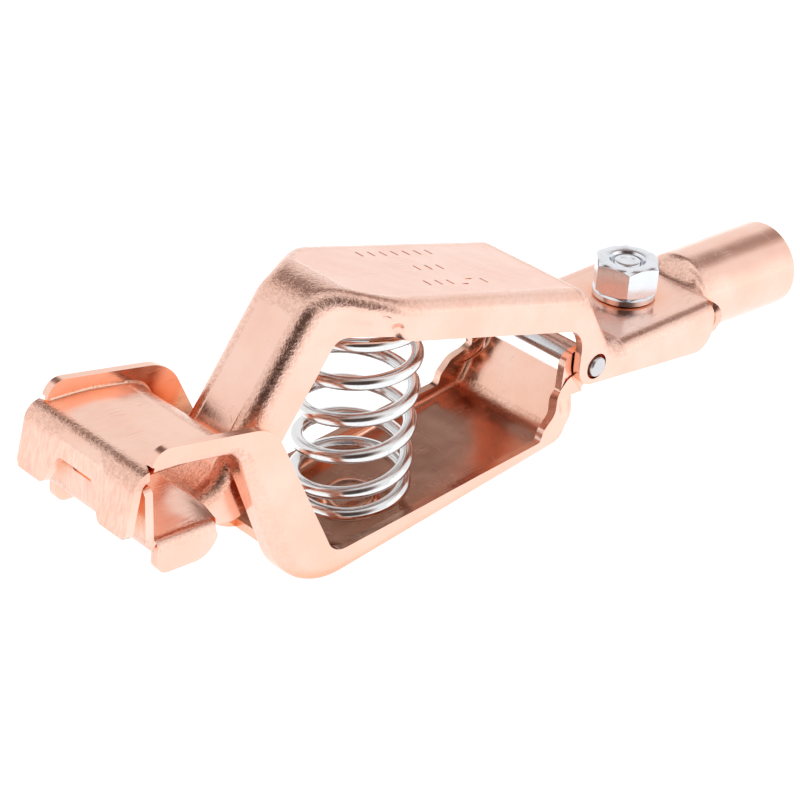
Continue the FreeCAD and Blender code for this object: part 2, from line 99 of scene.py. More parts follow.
class Chain:
    """A side outline through corners (x, z, radius): straight runs joined by tangent arcs."""

    def __init__(self, *corners):
        self.pieces = []
        self.marks = []
        points = [Vector(c[:2]) for c in corners]
        tail = points[0]
        self.length = 0.0
        for i, (x, z, radius) in enumerate(corners):
            if i in (0, len(corners) - 1) or radius == 0:
                self._line(tail, points[i])
                tail = points[i]
                self.marks.append(self.length)
                continue
            before = (points[i - 1] - points[i]).normalized()
            after = (points[i + 1] - points[i]).normalized()
            half = before.angle(after) / 2
            run = radius / math.tan(half)
            first, last = points[i] + before * run, points[i] + after * run
            centre = points[i] + (before + after).normalized() * (radius / math.sin(half))
            self._line(tail, first)
            start = math.atan2(first.y - centre.y, first.x - centre.x)
            turn = math.pi - 2 * half
            if before.x * after.y - before.y * after.x > 0:
                turn = -turn
            begin = self.length
            self.length += radius * abs(turn)
            self.pieces.append(("arc", begin, self.length, centre, radius, start, turn))
            self.marks.append((begin + self.length) / 2)
            tail = last

    def _line(self, a, b):
        run = (b - a).length
        if run > 1e-6:
            self.pieces.append(("line", self.length, self.length + run, a, (b - a) / run))
            self.length += run

    def at(self, s):
        """Point and direction at the distance s along the outline."""
        s = min(max(s, 0.0), self.length)
        piece = next(p for p in self.pieces if s <= p[2] + 1e-9)
        if piece[0] == "line":
            _, begin, _, start, direction = piece
            return start + direction * (s - begin), direction
        _, begin, end, centre, radius, start, turn = piece
        angle = start + turn * (s - begin) / (end - begin)
        spoke = Vector((math.cos(angle), math.sin(angle)))
        side = 1 if turn > 0 else -1
        return centre + spoke * radius, Vector((-spoke.y, spoke.x)) * side

    def stations(self, step, arc_step):
        """Distances along the outline, closer together round the arcs."""
        found = []
        for piece in self.pieces:
            spacing = step if piece[0] == "line" else arc_step
            count = max(1, math.ceil((piece[2] - piece[1]) / spacing))
            found += [piece[1] + (piece[2] - piece[1]) * i / count for i in range(count)]
        return found + [self.length]

    def in_arc(self, s, margin=0.6):
        """1 inside a rounded corner, falling to 0 a little outside it."""
        near = [max(p[1] - s, s - p[2], 0.0) for p in self.pieces if p[0] == "arc" and p[4] < GENTLE]
        return max(0.0, 1 - min(near, default=margin) / margin)

    def where_x(self, x):
        """Distance along the outline at which it first reaches the given x."""
        low = 0.0
        for i in range(1, 2001):
            high = self.length * i / 2000
            a, b = self.at(low)[0].x, self.at(high)[0].x
            if (a - x) * (b - x) <= 0:
                return high
            low = high
        return self.length


def smooth(value, low, high):
    t = min(max((value - low) / (high - low), 0.0), 1.0)
    return t * t * (3 - 2 * t)


def ramp(value, knots):
    """Piecewise straight interpolation through (value, result) knots in rising order."""
    if value <= knots[0][0]:
        return knots[0][1]
    for (a, fa), (b, fb) in zip(knots, knots[1:]):
        if value <= b:
            return fa + (fb - fa) * (value - a) / (b - a)
    return knots[-1][1]


# ---- mesh helpers --------------------------------------------------------------------------------

def to_row(x, y, z):
    return PIVOT + Vector((x, y, z)) * MM


def make_object(name, vertices, faces, material, sharp=40):
    """A mesh from millimetres about the pivot, smooth but for edges sharper than so many degrees."""
    mesh = bpy.data.meshes.new(name)
    mesh.from_pydata([to_row(*v) for v in vertices], [], faces)
    mesh.validate()
    mesh.shade_smooth()
    mesh.set_sharp_from_angle(angle=math.radians(sharp))
    mesh.materials.append(material)
    piece = bpy.data.objects.new(name, mesh)
    bpy.context.scene.collection.objects.link(piece)
    return piece


def place(piece, body, slot, *nodes):
    """Hang the piece on its body and let it stand for CAD nodes. The slot argument is not used."""
    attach(piece, body)
    if nodes:
        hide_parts(*nodes)


def apply_modifiers(piece):
    """Turn the piece's modifiers into its own mesh."""
    bpy.context.view_layer.update()
    graph = bpy.context.evaluated_depsgraph_get()
    mesh = bpy.data.meshes.new_from_object(piece.evaluated_get(graph), preserve_all_data_layers=True,
                                           depsgraph=graph)
    piece.modifiers.clear()
    piece.data = mesh
    return piece


# ---- folded sheet --------------------------------------------------------------------------------

WAVE, RIPPLE = 0.05, 0.02       # unevenness of the pressed sheet, long and short
FLANGE_STEPS = 8
BEND_STEPS = 6
# columns over the web, as shares of its half width; the breaks fall on the window's side and on the
# root and the tips of the notch between the teeth
WINDOW_SHARE = 0.734
ROOT_SHARE = 0.274
TIP_SHARE = 0.548


def web_columns():
    spans = [(0, ROOT_SHARE, 6), (ROOT_SHARE, TIP_SHARE, 6), (TIP_SHARE, WINDOW_SHARE, 4),
             (WINDOW_SHARE, 1, 6)]
    right = [a + (b - a) * i / n for a, b, n in spans for i in range(n)] + [1.0]
    return [-share for share in right[:0:-1]] + right


class Sheet:
    """One folded sheet's outer face as a grid. Rows are stations along it; columns run from the
    near flange's free edge round the bend, over the web and down to the far flange's free edge."""

    def __init__(self, inward, half_at, half_edge_at, rough_at):
        self.inward = inward                      # side of the web's outline the metal lies on
        self.half_at = half_at                    # half width at a point (x, z), by the bends
        self.half_edge_at = half_edge_at          # and at the flanges' free edges
        self.rough_at = rough_at                  # how strongly the bends' skin is crackled there
        self.columns = web_columns()
        self.rows = []
        self.windows = []                         # (first row, row after the last, half width)
        self.vertices = []
        self.bent = []
        self.faces = []

    def add(self, at, along, bend, foot=None, web=True, bent=0.0, place_web=None):
        """A station at a point of the outline; foot is the flange's free edge there."""
        self.rows.append((at, along, bend, foot, web, bent, place_web))

    def grid_point(self, row, part, side, k):
        at, along, bend, foot, web, bent, place_web = row
        inward = Vector((along.y, -along.x)) * self.inward
        if part == "flange":
            root = at + inward * (bend if web else 0.0)
            depth = (1 - k / FLANGE_STEPS) ** 1.6
            point = root.lerp(foot, depth)
            edge = smooth(depth, 0.0, 0.9)
            half = self.half_at(point) * (1 - edge) + self.half_edge_at(point) * edge
            return (point.x, side * half, point.y), 0.0
        if part == "bend":
            angle = math.pi / 2 * k / BEND_STEPS
            point = at + inward * bend * (1 - math.sin(angle))
            half = self.half_at(point)
            rough = max(bent, self.rough_at(at.x))
            return (point.x, side * (half - bend + bend * math.cos(angle)), point.y), rough
        share = self.columns[k]
        if place_web:
            return place_web(share), bent
        y = share * (self.half_at(at) - (bend if foot else 0.0))
        beside_bend = self.rough_at(at.x) * smooth(abs(share), 0.9, 1.0) if foot else 0.0
        return (at.x, y, at.y), max(bent, beside_bend)

    def vertex(self, index, i, part, side, k):
        if part == "bend" and k == 0:
            part, k = "flange", FLANGE_STEPS
        elif part == "bend" and k == BEND_STEPS:
            part, k = "web", 0 if side < 0 else len(self.columns) - 1
        key = (i, part, side if part != "web" else 0, k)
        if key not in index:
            position, bent = self.grid_point(self.rows[i], part, side, k)
            index[key] = len(self.vertices)
            self.vertices.append(position)
            self.bent.append(bent)
        return index[key]

    def build(self):
        """Make the faces between neighbouring rows, where both rows have that part."""
        index = {}
        for i, (row, after) in enumerate(zip(self.rows, self.rows[1:])):
            flanged = row[3] is not None and after[3] is not None
            webbed = row[4] and after[4]
            strips = []
            for side in (-1, 1):
                strips += [("flange", side, k) for k in range(FLANGE_STEPS if flanged else 0)]
                strips += [("bend", side, k) for k in range(BEND_STEPS if flanged and webbed else 0)]
            open_share = max([w for a, b, w in self.windows if a <= i < b], default=0.0)
            for k in range(len(self.columns) - 1 if webbed else 0):
                if abs(self.columns[k] + self.columns[k + 1]) / 2 > open_share:
                    strips.append(("web", 0, k))
            for part, side, k in strips:
                corners = ((i, k), (i + 1, k), (i + 1, k + 1), (i, k + 1))
                loop = [self.vertex(index, j, part, side, n) for j, n in corners]
                self.faces.append(loop[::-1] if side > 0 else loop)


def finish_sheet(name, sheet, material, holes, dents=()):
    """Give the grid its thickness, bore its holes, break its edges and add hand-sized unevenness."""
    piece = make_object(name, sheet.vertices, sheet.faces, material)
    mesh = piece.data
    mark = mesh.attributes.new("bend", "FLOAT", "POINT")
    mark.data.foreach_set("value", sheet.bent)
    outward = [Vector(v.normal) * sheet.inward for v in mesh.vertices]
    for v, out in zip(mesh.vertices, outward):
        sunk = WAVE * (1 + noise.noise(v.co / MM * 0.11)) + RIPPLE * (1 + noise.noise(v.co / MM * 0.35))
        for centre, reach, depth in dents:
            away = (v.co - to_row(*centre)).length / MM / reach
            sunk += depth * math.exp(-2 * away * away)
        v.co -= out * sunk * MM
    thick = piece.modifiers.new("thickness", "SOLIDIFY")
    thick.thickness = SHEET * MM
    thick.offset = -sheet.inward
    thick.use_even_offset = False
    thick.use_quality_normals = True
    for hole in holes:
        bore = piece.modifiers.new("hole", "BOOLEAN")
        bore.object = hole
        bore.solver = "EXACT"
    edge = piece.modifiers.new("edge", "BEVEL")
    edge.width = 0.28 * MM
    edge.segments = 2
    edge.limit_method = "ANGLE"
    edge.angle_limit = math.radians(58)
    edge.harden_normals = True
    apply_modifiers(piece)
    for hole in holes:
        bpy.data.objects.remove(hole)
    return piece


def bore_tool(x, z, radius, axis):
    """A cylinder for boring through a sheet, along Y or Z."""
    bpy.ops.mesh.primitive_cylinder_add(vertices=64, radius=radius * MM, depth=60 * MM,
                                        location=to_row(x, 0, z))
    tool = bpy.context.active_object
    if axis == "Y":
        tool.rotation_euler = (math.pi / 2, 0, 0)
    tool.hide_render = True
    return tool


MARK_ROWS = [(7.4, -39.0, 7), (0.8, -32.0, 3), (-5.6, -36.0, 6)]      # y, first x, how many
MARK_SPACING = 2.7
MARK_DEPTH = 0.22


def stamped_marks():
    """Cutter for three rows of plain short strokes pressed into the top of the upper web."""
    start, end = Vector((-3.2, 15.4)), Vector((-60.1, 30.7))
    along = (end - start).normalized()
    outward = Vector((-along.y, along.x)) * (1 if along.x > 0 else -1)
    vertices, faces = [], []
    draw = random.Random(7)
    for y, first_x, count in MARK_ROWS:
        for i in range(count):
            x = first_x + MARK_SPACING * i
            centre = start + along * ((x - start.x) / along.x)
            long_across = draw.random() < 0.7
            half_x, half_y = (0.24, 1.25) if long_across else (0.9, 0.24)
            shift = 0.0 if long_across else draw.choice((-1.0, 0.0, 1.0))
            corner = len(vertices)
            for h in (-MARK_DEPTH, 1.0):
                for dx, dy in ((-half_x, -half_y), (half_x, -half_y), (half_x, half_y), (-half_x, half_y)):
                    taper = 1.0 if h > 0 else 0.75
                    at = centre - along * dx * taper + outward * h
                    vertices.append((at.x, y + shift + dy * taper, at.y))
            a, b, c, d, e, f, g, i_top = range(corner, corner + 8)
            faces += [[a, d, c, b], [e, f, g, i_top], [a, b, f, e], [b, c, g, f], [c, d, i_top, g],
                      [d, a, e, i_top]]
    cutter = make_object("marks", vertices, faces, bpy.data.materials.new("marks"))
    return clean(cutter)


def add_stations(sheet, chain, edge, knots, first, last, bend, step=0.6, arc_step=0.4):
    """Flanged stations along a stretch of the web's outline, each with its place on the free edge."""
    for s in chain.stations(step, arc_step):
        if first <= s <= last:
            at, along = chain.at(s)
            radius = bend(at.x) if callable(bend) else bend
            foot = edge.at(ramp(s, knots))[0] if edge else None
            sheet.add(at, along, radius, foot, bent=chain.in_arc(s))


def add_wall(sheet, chain, base, root_z):
    """The front wall's stations, with the notch between its teeth worked into their heights."""
    tip = chain.at(chain.length)[0]
    foot = chain.at(base)[0]
    depth = (root_z - foot.y) / (tip.y - foot.y)
    for s in chain.stations(0.5, 0.25):
        if s < base:
            continue
        share = (s - base) / (chain.length - base)

        def wall_point(column, share=share):
            y = column * HALF
            reach = depth + (1 - depth) * smooth(abs(y), NOTCH_ROOT, NOTCH_TIP)
            corner = HALF - TOOTH_ROUND
            if abs(y) > corner:
                drop = TOOTH_ROUND - math.sqrt(max(TOOTH_ROUND ** 2 - (abs(y) - corner) ** 2, 0.0))
                reach -= drop / abs(tip.y - foot.y)
            at, _ = chain.at(base + share * reach * (chain.length - base))
            return at.x, y, at.y

        at, along = chain.at(s)
        sheet.add(at, along, 0.0, bent=chain.in_arc(s), place_web=wall_point)


# ---- upper lever ---------------------------------------------------------------------------------

NOTCH_ROOT = ROOT_SHARE * HALF
NOTCH_TIP = TIP_SHARE * HALF
TOOTH_ROUND = 0.9
CONE_START, CONE_END = 32.4, 38.0
BARREL_STEP, CONE_STEP = 1.2, 0.3
CURLED_HALF = math.pi * BARREL_OUTER - 0.3      # half the developed width of the closed barrel
SHOULDER_FRONT, NECK_REAR = -47.0, -60.5
NECK_FRONT, JAW_REAR = -83.6, -85.3
LIP_BEND = 1.9


def upper_half(point):
    """The flanges draw in to the neck, then step out again to the jaw."""
    x = point.x
    if x > -70:
        return NECK_HALF + (HALF - NECK_HALF) * smooth(x, NECK_REAR, SHOULDER_FRONT)
    return NECK_HALF + (HALF - NECK_HALF) * ramp(x, [(JAW_REAR, 1.0), (NECK_FRONT, 0.0)])


def upper_edge_half(point):
    """The free edge steps in sharply where the press caught it, well before the bend does."""
    if point.x > -70:
        return NECK_HALF + (HALF - NECK_HALF) * smooth(point.x, -57.0, -46.0)
    return upper_half(point)


def curl_point(x):
    """Function placing a share of the sheet's width on the cone or the barrel at x."""
    flat = HALF - 2.6
    closed = smooth(x, CONE_START - 0.4, CONE_START + 4.6)
    width = flat + (CURLED_HALF - flat) * smooth(x, CONE_START + 0.2, CONE_START + 5.1)
    along_barrel = ramp(x, [(CONE_END, 0.0), (BARREL_MOUTH, 1.0)])
    radius = (BARREL_OUTER - 0.25 * (1 - along_barrel)) / max(closed, 0.02)
    crown = BARREL_AXIS + BARREL_OUTER + 0.8 * (1 - along_barrel)
    top = PAD_TOP + (crown - PAD_TOP) * smooth(x, CONE_START + 0.8, CONE_END)
    squat = min(1.0, (top - BARREL_AXIS + BARREL_OUTER) / (2 * radius))

    def place_share(share):
        angle = share * width / radius
        return x, radius * math.sin(angle), top - radius * (1 - math.cos(angle)) * squat

    return place_share


def upper_lever_sheet():
    sheet = Sheet(-1, upper_half, upper_edge_half,
                  lambda x: ramp(x, [(-86, 0.5), (-83, 1.0), (-50, 1.0), (-42, 0.35)]))
    back = Vector((-1, 0))
    rear = [BARREL_MOUTH - 0.05 - BARREL_STEP * i for i in range(18)]
    cone = [CONE_END + 2.5 - CONE_STEP * i for i in range(32)]
    for x in [x for x in rear if x > cone[0] + 0.4] + [x for x in cone if x > CONE_START + 0.1]:
        creased = 0.9 * max(0.0, 1 - abs(x - CONE_START - 3.0) / 5.5)
        sheet.add(Vector((x, PAD_TOP)), back, 0.0, bent=creased, place_web=curl_point(x))

    web = Chain((32.4, 1.9, 0), (4.8, 1.9, 5), (-3.2, 15.4, 5), (-60.1, 30.7, 8), (-81.0, 1.8, 6),
                (-97.6, 2.9, 1.5), (-97.85, 12.9, 0))
    edge = Chain((32.4, -1.2, 0), (32.4, -7.2, 4), (-4.5, -2.8, 4), (-4.5, 8.4, 5), (-50.4, 21.3, 4),
                 (-56.6, 20.9, 4), (-75.5, -4.8, 3), (-84.5, -3.0, 0))
    w, e = web.marks, edge.marks
    neck_end = web.where_x(NECK_FRONT)
    knots = [(0, 0), (4.0, e[1] + 1.5), (w[1], e[2]), (w[2], e[3]), (web.where_x(-50), e[4]),
             (web.where_x(-58), e[5]), (w[4], e[6]), (neck_end, e[7])]
    add_stations(sheet, web, edge, knots, 0, neck_end,
                 lambda x: ramp(x, [(-57, 3.0), (-47, 2.6)]))

    rear_lip = web.where_x(JAW_REAR)
    for s in (neck_end + 0.3, rear_lip - 0.3):
        at, along = web.at(s)
        sheet.add(at, along, 0.0)
    lip_end = web.where_x(-96.6)
    lip = Chain((-85.0, 0.0, 0), (-87.3, -3.5, 4.2), (-97.3, -2.9, 2.3), (-97.0, -0.4, 0))
    lip_knots = [(rear_lip, 0), (lip_end, lip.length)]
    add_stations(sheet, web, lip, lip_knots, rear_lip, lip_end, LIP_BEND, 0.4, 0.3)
    add_wall(sheet, web, lip_end + 0.3, 8.2)
    sheet.build()
    return sheet


# dents left by the press where the flanges are drawn in towards the neck: centre, reach, depth
DENTS = [((-49.0, -12.9, 21.9), 1.9, 1.4), ((-51.2, -12.2, 24.6), 1.2, 0.9),
         ((-49.6, 13.0, 22.2), 1.8, 1.1)]

# ---- lower lever ---------------------------------------------------------------------------------

JOGGLE_FRONT, JOGGLE_REAR = -10.6, -6.8         # the flanges step in to the ears along X
JOGGLE_LOW, JOGGLE_HIGH = -8.4, -4.6            # and, behind that, up Z
WINDOW_REAR, WINDOW_FRONT = -63.5, -80.5


def lower_half(point):
    """The ears step in to pass inside the upper lever's flanges."""
    inside = smooth(point.x, JOGGLE_FRONT, JOGGLE_REAR) * smooth(point.y, JOGGLE_LOW, JOGGLE_HIGH)
    return HALF + (EAR_HALF - HALF) * inside


def lower_lever_sheet():
    sheet = Sheet(1, lower_half, lower_half, lambda x: 0.3)
    ear = Chain((0.0, 3.5, 0), (3.5, 3.5, 3.45), (3.5, -3.6, 3.45), (-1.2, -3.6, 0))
    ear_edge = Chain((-2.0, 3.55, 0), (-6.5, 3.6, 2.5), (-6.8, -3.6, 0))
    for s in ear.stations(0.6, 0.6)[:-1]:
        at, along = ear.at(s)
        foot = ear_edge.at(s / ear.length * ear_edge.length)[0]
        sheet.add(at, along, 0.0, foot, web=False)

    web = Chain((-1.2, -3.6, 0), (-6.8, -13.4, 4), (-68.3, -20.3, 13), (-81.2, 11.9, 4),
                (-91.0, 13.8, 40), (-99.6, 14.4, 1.6), (-101.6, 5.4, 0))
    edge = Chain((-6.8, -3.6, 0), (-12.4, -8.8, 1.5), (-12.9, -10.8, 1), (-60.9, -14.0, 4),
                 (-74.6, 14.6, 8), (-97.6, 19.1, 3.0), (-98.1, 16.0, 0))
    w, e = web.marks, edge.marks
    lip_end = web.where_x(-98.0)
    knots = [(0, 0), (w[1], e[1]), (w[1] + 4.5, e[2] + 1), (web.where_x(-59), e[3]), (w[3], e[4]),
             (lip_end - 4.5, e[5] - 3.2), (lip_end, e[6])]
    add_stations(sheet, web, edge, knots, 0, lip_end,
                 lambda x: ramp(x, [(-84, LIP_BEND), (-72, 2.6)]))
    add_wall(sheet, web, lip_end + 0.3, 10.4)
    first, last = web.where_x(WINDOW_REAR), web.where_x(WINDOW_FRONT)
    rows = [i for i, row in enumerate(sheet.rows) if row[4] and row[3] is not None]
    places = [nearest_station(web, sheet.rows[i][0]) for i in rows]
    inside = [i for i, s in zip(rows, places) if first <= s <= last]
    sheet.windows.append((inside[0], inside[-1], WINDOW_SHARE))
    sheet.build()
    return sheet


def nearest_station(chain, point):
    """Distance along the outline of the station made at that point."""
    return min(chain.stations(0.6, 0.4), key=lambda s: (chain.at(s)[0] - point).length)


# ---- turned and wound pieces ---------------------------------------------------------------------

def turned(name, profile, material, axis="Z", centre=(0, 0, 0), steps=72, outline=None, sharp=35):
    """Revolve a profile of (radius, height); outline can change the radius and height by angle."""
    vertices, faces = [], []
    for i in range(steps):
        angle = 2 * math.pi * i / steps
        for radius, height in profile:
            r, h = outline(angle, radius, height) if outline else (radius, height)
            flat = (r * math.cos(angle), r * math.sin(angle))
            offset = (flat[0], flat[1], h) if axis == "Z" else (flat[0], h, flat[1])
            vertices.append([c + o for c, o in zip(centre, offset)])
    rows = len(profile)
    for i in range(steps):
        after = (i + 1) % steps
        for k in range(rows - 1):
            loop = [i * rows + k, after * rows + k, after * rows + k + 1, i * rows + k + 1]
            faces.append(loop if axis == "Z" else loop[::-1])
    piece = make_object(name, vertices, faces, material, sharp)
    return clean(piece)


def clean(piece):
    """Merge the points that meet on an axis and point every face outward."""
    mesh = bmesh.new()
    mesh.from_mesh(piece.data)
    bmesh.ops.remove_doubles(mesh, verts=mesh.verts, dist=0.002 * MM)
    bmesh.ops.recalc_face_normals(mesh, faces=mesh.faces)
    mesh.to_mesh(piece.data)
    mesh.free()
    return piece


ACROSS_FLATS = 11.11
NUT_HEIGHT = 5.6
NUT_TURN = math.radians(45)
WASHER_HEIGHT = 1.6
WASHER_RADIUS = 5.85
BOLT_RADIUS = 3.05
THREAD_PITCH = 1.0


HEXAGON = 100                   # added to a radius in a profile that is a share of the hexagon's
HEXAGON_SHARES = [0.80, 0.90, 0.94, 0.97, 0.99, 1.0]
CHAMFER_SLOPE = math.tan(math.radians(28))


def hexagonal(angle, radius):
    """Radius at an angle of a profile point, and how deep the round chamfer cuts its corner."""
    if radius < HEXAGON:
        return radius, 0.0
    share = radius - HEXAGON
    reach = ACROSS_FLATS / 2 / math.cos((angle - NUT_TURN) % (math.pi / 3) - math.pi / 6)
    over = max(reach - ACROSS_FLATS / 2 * 0.985, 0.0) * CHAMFER_SLOPE
    return reach * share, over * smooth(share, 0.9, 1.0)


def terminal_nut(material):
    """Hexagon chamfered on both faces, with ridges of thread up its bore."""
    low = PAD_TOP + WASHER_HEIGHT
    high = low + NUT_HEIGHT
    bore = [(3.55, high), (3.4, high - 0.06), (BOLT_RADIUS + 0.05, high - 0.55), (3.05, high - 1.0)]
    turns = int((NUT_HEIGHT - 1.4) / THREAD_PITCH)
    for i in range(turns):
        z = high - 1.0 - THREAD_PITCH * i
        bore += [(BOLT_RADIUS - 0.45, z - THREAD_PITCH / 2), (BOLT_RADIUS + 0.05, z - THREAD_PITCH)]
    bore.append((BOLT_RADIUS + 0.4, low))
    under = [(HEXAGON + share, low) for share in HEXAGON_SHARES]
    over = [(HEXAGON + share, high) for share in reversed(HEXAGON_SHARES)]

    def outline(angle, radius, height):
        r, drop = hexagonal(angle, radius)
        return r, height - drop if height > low else height + drop

    return turned("terminal_nut_body", [bore[-1]] + under + over + bore, material,
                  centre=(BOLT_X, 0, 0), steps=144, outline=outline, sharp=24)


def terminal_bolt(material):
    """Head under the pad, threaded shank, and a chamfered end just inside the nut."""
    under = PAD_TOP - SHEET
    head = under - 4.0
    end = PAD_TOP + WASHER_HEIGHT + NUT_HEIGHT - 0.25
    profile = [(0, head + 0.25), (2.6, head + 0.25), (2.9, head)]
    profile += [(HEXAGON + share, head) for share in HEXAGON_SHARES]
    profile += [(HEXAGON + 1.0, under), (BOLT_RADIUS, under)]
    z = PAD_TOP + WASHER_HEIGHT
    while z < end - 1.2:
        profile += [(BOLT_RADIUS, z), (BOLT_RADIUS - 0.5, z + THREAD_PITCH / 2)]
        z += THREAD_PITCH
    profile += [(BOLT_RADIUS - 0.1, end - 0.75), (BOLT_RADIUS - 0.7, end - 0.1),
                (BOLT_RADIUS - 0.95, end), (1.5, end - 0.02), (1.3, end - 0.16), (0, end - 0.2)]

    def outline(angle, radius, height):
        r, lift = hexagonal(angle, radius)
        return r, height + lift if height < under - 1 else height

    return turned("terminal_bolt_body", profile, material, centre=(BOLT_X, 0, 0), steps=144,
                  outline=outline, sharp=24)


def lock_washer(material):
    """A split ring: the ends stand a little apart, one side of the gap higher than the other."""
    gap = math.radians(10)
    start = math.radians(35)
    section = [(3.35, 0.15), (3.5, 0.0), (WASHER_RADIUS - 0.25, 0.0), (WASHER_RADIUS, 0.25),
               (WASHER_RADIUS, 1.2), (WASHER_RADIUS - 0.45, WASHER_HEIGHT),
               (3.5, WASHER_HEIGHT), (3.35, WASHER_HEIGHT - 0.15)]
    steps = 90
    vertices, faces = [], []
    for i in range(steps + 1):
        angle = start + gap / 2 + (2 * math.pi - gap) * i / steps
        for radius, height in section:
            vertices.append((BOLT_X + radius * math.cos(angle), radius * math.sin(angle),
                             PAD_TOP + height))
    rows = len(section)
    for i in range(steps):
        for k in range(rows):
            a, b = i * rows + k, i * rows + (k + 1) % rows
            faces.append([a, b, b + rows, a + rows])
    faces += [list(range(rows)), list(range(steps * rows, steps * rows + rows))]
    return clean(make_object("lock_washer_ring", vertices, faces, material, 30))


def pivot_pin(material):
    """A plain pin with both ends peened over: a low dome with a worn, slightly faceted edge."""
    reach = HALF + 0.68
    dome = [(0.0, reach), (0.6, reach - 0.01), (1.2, reach - 0.04), (1.6, reach - 0.12),
            (1.8, reach - 0.30), (1.88, reach - 0.6), (1.92, HALF - 0.5), (PIN_RADIUS, HALF - 0.9)]
    profile = dome + [(radius, -height) for radius, height in reversed(dome)]

    def outline(angle, radius, height):
        facet = 1 - 0.03 * (0.5 + 0.5 * math.cos(7 * angle)) * smooth(radius, 0.5, 1.8)
        press = 0.06 * math.sin(2 * angle + 0.6) * smooth(radius, 0.2, 1.4)
        return radius * facet, height - math.copysign(press, height) if radius > 0.1 else height

    return turned("pivot_pin_body", profile, material, axis="Y", steps=56, outline=outline)


def spring_mesh(material):
    """A round wire wound right-handed, its end coils closed and leaning with the levers they press."""
    low, high = (corner.z / MM - PIVOT.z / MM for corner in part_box("spring"))
    bottom, top = low + WIRE / 2 + 0.05, high - WIRE / 2 - 0.05
    turns = 6.24
    closed = 0.9
    steps, ring = 560, 14
    start = math.radians(147)
    rise = [(0.0, 0.0), (closed, 0.085 * closed), (turns - closed, 1 - 0.085 * closed), (turns, 1.0)]
    lean_low, lean_high = 0.10, -0.10
    points = []
    for i in range(steps + 1):
        turn = turns * i / steps
        share = ramp(turn, rise)
        angle = start + 2 * math.pi * turn
        x = COIL_RADIUS * math.cos(angle)
        lean = lean_low + (lean_high - lean_low) * share
        centre = SPRING_X - 0.5 + 1.2 * share
        z = bottom + (top - bottom) * share + x * lean
        z = min(max(z, bottom), top)
        points.append(Vector((centre + x, COIL_RADIUS * math.sin(angle), z)))
    points = relaxed(points, 10)
    vertices, faces = [], []
    for i, point in enumerate(points):
        along = (points[min(i + 1, steps)] - points[max(i - 1, 0)]).normalized()
        out = Vector((point.x - SPRING_X, point.y, 0)).normalized()
        out = (out - along * out.dot(along)).normalized()
        side = along.cross(out)
        for k in range(ring):
            angle = 2 * math.pi * k / ring
            offset = out * math.cos(angle) + side * math.sin(angle)
            vertices.append(point + offset * (WIRE / 2))
    for i in range(steps):
        for k in range(ring):
            after = (k + 1) % ring
            faces.append([i * ring + k, i * ring + after, (i + 1) * ring + after, (i + 1) * ring + k])
    faces += [list(range(ring)), list(range(steps * ring, steps * ring + ring))]
    return clean(make_object("spring_wire", vertices, faces, material, 50))


def relaxed(points, passes):
    """The line of points with its sudden changes of slope smoothed out; the ends stay."""
    for _ in range(passes):
        middle = [(a + 2 * b + c) / 4 for a, b, c in zip(points, points[1:], points[2:])]
        points = [points[0]] + middle + [points[-1]]
    return points


def seat(name, material, height, up, lean):
    """The low round boss that keeps an end coil in place, leaning with the web it stands on."""
    profile = [(0.0, -0.6), (5.4, -0.6), (5.3, 0.15), (5.0, 0.6), (4.5, 1.2), (3.8, 1.6),
               (2.8, 1.85), (1.4, 1.95), (0.0, 2.0)]
    piece = turned(name, [(r, h * up) for r, h in profile], material, steps=64, sharp=60)
    centre = to_row(SPRING_X, 0, height)
    turn = Matrix.Rotation(lean, 4, "Y")
    piece.data.transform(Matrix.Translation(centre) @ turn @ Matrix.Translation(-PIVOT))
    return piece


# ---- materials -----------------------------------------------------------------------------------

class Nodes:
    """Shorthand for building a material's node tree."""

    def __init__(self, name):
        self.material = bpy.data.materials.new(name)
        self.material.use_nodes = True
        self.tree = self.material.node_tree
        self.shader = self.tree.nodes["Principled BSDF"]

    def node(self, kind, **inputs):
        made = self.tree.nodes.new(kind)
        for key, value in inputs.items():
            socket = made.inputs.get(key.replace("_", " ").title())
            if socket is None:
                setattr(made, key, value)
            else:
                self.feed(socket, value)
        return made

    def feed(self, socket, value):
        """Link an output to the socket, or set it to a plain value."""
        if isinstance(value, bpy.types.NodeSocket):
            self.tree.links.new(value, socket)
        else:
            socket.default_value = value

    def link(self, output, target):
        self.tree.links.new(output, target)

    def coordinates(self, *stretch):
        """Object coordinates, stretched so that patterns come out long or short along an axis."""
        source = self.node("ShaderNodeTexCoord").outputs["Object"]
        return self.node("ShaderNodeMapping", vector=source, scale=stretch).outputs["Vector"]

    def noise(self, vector, scale, detail=3.0, roughness=0.55, distortion=0.0):
        made = self.node("ShaderNodeTexNoise", vector=vector, scale=scale, detail=detail,
                         roughness=roughness, distortion=distortion)
        return made.outputs["Fac"]

    def remap(self, value, low, high, to_low, to_high):
        made = self.node("ShaderNodeMapRange", value=value, from_min=low, from_max=high,
                         to_min=to_low, to_max=to_high)
        return made.outputs["Result"]

    def maths(self, operation, a, b):
        made = self.tree.nodes.new("ShaderNodeMath")
        made.operation = operation
        for socket, value in zip(made.inputs, (a, b)):
            self.feed(socket, value)
        return made.outputs[0]

    def mix(self, factor, a, b):
        made = self.tree.nodes.new("ShaderNodeMix")
        made.data_type = "RGBA"
        self.tree.links.new(factor, made.inputs["Factor"])
        for socket, value in ((made.inputs[6], a), (made.inputs[7], b)):
            self.feed(socket, value if isinstance(value, bpy.types.NodeSocket) else (*value, 1.0))
        return made.outputs[2]

    def bump(self, height, strength, distance, normal=None):
        made = self.node("ShaderNodeBump", height=height, strength=strength, distance=distance)
        if normal:
            self.link(normal, made.inputs["Normal"])
        return made.outputs["Normal"]


